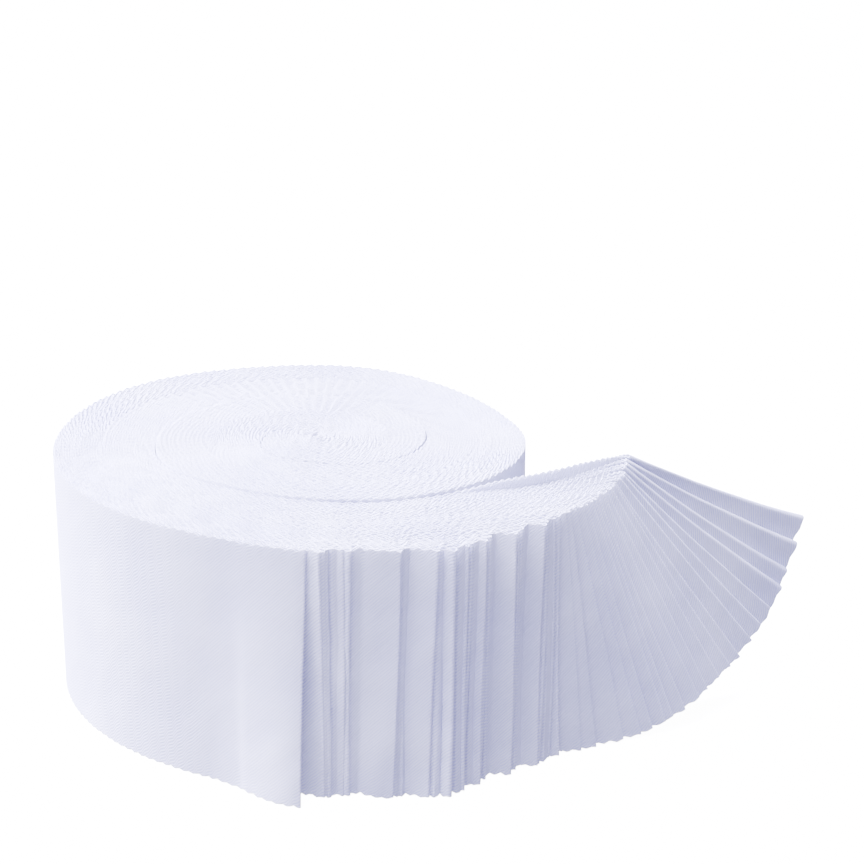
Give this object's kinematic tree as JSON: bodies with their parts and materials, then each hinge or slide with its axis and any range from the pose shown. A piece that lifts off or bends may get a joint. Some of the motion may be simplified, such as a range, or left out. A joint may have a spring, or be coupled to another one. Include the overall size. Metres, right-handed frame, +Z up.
{
  "type": "jelly roll fabric strips",
  "caption": "Roll of folded white cotton quilting strips with pinked edges, its free ends stepped along the front and fanned out to one side.",
  "frame": {"origin": "on the flat underside, under the middle of the wound roll", "axes": "+Z up across the strips' width, +X to the right towards the fanned ends, -Y towards the front with the stepped ends"},
  "size_m": [0.1926, 0.1395, 0.0693],
  "materials": {
    "cotton": "matt woven quilting cotton, bleached white"
  },
  "bodies": {
    "root": {"wound_roll": "cotton", "strip_end_01": "cotton", "strip_end_02": "cotton", "strip_end_03": "cotton", "strip_end_04": "cotton", "strip_end_05": "cotton", "strip_end_06": "cotton", "strip_end_07": "cotton", "strip_end_08": "cotton", "strip_end_09": "cotton", "strip_end_10": "cotton", "strip_end_11": "cotton", "strip_end_12": "cotton", "strip_end_13": "cotton", "strip_end_14": "cotton", "strip_end_15": "cotton", "strip_end_16": "cotton", "strip_end_17": "cotton", "strip_end_18": "cotton", "strip_end_19": "cotton", "strip_end_20": "cotton", "strip_end_21": "cotton", "strip_end_22": "cotton", "strip_end_23": "cotton", "strip_end_24": "cotton", "strip_end_25": "cotton", "strip_end_26": "cotton", "strip_end_27": "cotton", "strip_end_28": "cotton", "strip_end_29": "cotton", "strip_end_30": "cotton", "strip_end_31": "cotton", "strip_end_32": "cotton", "strip_end_33": "cotton"}
  },
  "joints": []
}
